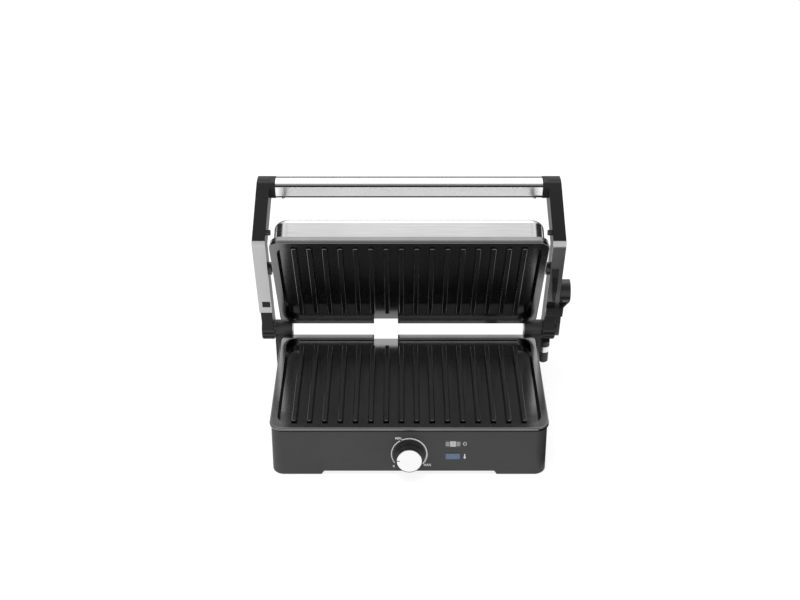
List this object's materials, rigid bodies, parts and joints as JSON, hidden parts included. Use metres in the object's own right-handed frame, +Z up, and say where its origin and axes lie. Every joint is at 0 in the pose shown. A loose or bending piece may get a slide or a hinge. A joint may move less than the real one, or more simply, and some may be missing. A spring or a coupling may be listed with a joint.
{
  "type": "electric contact grill",
  "caption": "Electric contact grill with two ribbed plates, a floating lid on a raised handle frame, a control knob and a lock lever.",
  "frame": {"origin": "On the table under the middle of the open grill's outline. The middle of the plates is 6.5 mm to -X and 9 mm to -Y of it.", "axes": "+X to the right, +Y to the back, +Z up, with the control panel facing -Y."},
  "size_m": [0.371, 0.2347, 0.2637],
  "materials": {
    "housing_plastic": "fine matte moulded surface",
    "rubber": "matte",
    "fastener_steel": "turned",
    "dark_steel": "black oxide",
    "plate_coating": "cast, black satin non-stick coating",
    "heater_steel": "plain rolled",
    "thermostat_case": "plain",
    "lamp_clear": "frosted",
    "lamp_blue": "frosted blue",
    "board_green": "lacquered",
    "ceramic_white": "plain",
    "knob_black": "satin black",
    "bright_metal": "bright turned face",
    "arm_black": "satin black",
    "arm_silver": "satin silver",
    "handle_steel": "fine brushed along the bar",
    "cover_steel": "fine brushed across the lid",
    "frame_plastic": "satin dark grey"
  },
  "bodies": {
    "base": {"lower_housing": "housing_plastic", "bottom_cover": "housing_plastic", "rubber_feet": "rubber", "bottom_screws": "fastener_steel", "screw_posts": "housing_plastic", "lower_plate": "plate_coating", "lower_heater": "heater_steel", "lower_reflector": "heater_steel", "thermostat": "thermostat_case", "power_lamp": "lamp_clear", "heat_lamp": "lamp_blue", "lamp_board": "board_green", "terminal_block": "ceramic_white", "cord_gland": "housing_plastic", "lever_catch": "housing_plastic", "catch_ring": "bright_metal", "left_hinge_post": "housing_plastic", "right_hinge_post": "housing_plastic", "left_hinge_pin": "fastener_steel", "right_hinge_pin": "fastener_steel"},
    "knob": {"knob_skirt": "knob_black", "knob_cap": "bright_metal", "thermostat_shaft": "fastener_steel"},
    "arms": {"handle_bar": "handle_steel", "lever_pin": "fastener_steel", "lever_guide": "knob_black", "left_arm": "arm_black", "right_arm": "arm_black", "left_arm_cover": "arm_silver", "right_arm_cover": "arm_silver", "left_hinge_cap": "knob_black", "right_hinge_cap": "knob_black", "left_handle_cap": "arm_black", "right_handle_cap": "arm_black", "left_pivot_pin": "dark_steel", "right_pivot_pin": "dark_steel", "left_stop_pin": "dark_steel", "right_stop_pin": "dark_steel"},
    "lid": {"lid_cover": "cover_steel", "lid_frame": "frame_plastic", "upper_plate": "plate_coating", "upper_heater": "heater_steel", "upper_reflector": "heater_steel", "thermal_fuse": "thermostat_case", "left_pivot_bush": "frame_plastic", "right_pivot_bush": "frame_plastic"},
    "lever": {"lock_lever": "knob_black"}
  },
  "joints": [
    {"name": "lid_hinge", "type": "hinge", "parent": "base", "child": "arms", "pos_m": [-0.0065, 0.09, 0.063], "axis": [-1, 0, 0], "range_deg": [-63.5, 100]},
    {"name": "lid_tilt", "type": "hinge", "parent": "arms", "child": "lid", "pos_m": [-0.0065, 0.06638, 0.16523], "axis": [-1, 0, 0], "range_deg": [-5.5, 0.5]},
    {"name": "knob_turn", "type": "hinge", "parent": "base", "child": "knob", "pos_m": [-0.0065, -0.1013, 0.027], "axis": [0, 0.9829, -0.184], "range_deg": [-40, 215]},
    {"name": "lever_swing", "type": "hinge", "parent": "arms", "child": "lever", "pos_m": [-0.0065, 0.09, 0.063], "axis": [1, 0, 0], "range_deg": [0, 14], "stiffness_Nm_per_rad": 0.08, "springref_deg": -14.32}
  ]
}
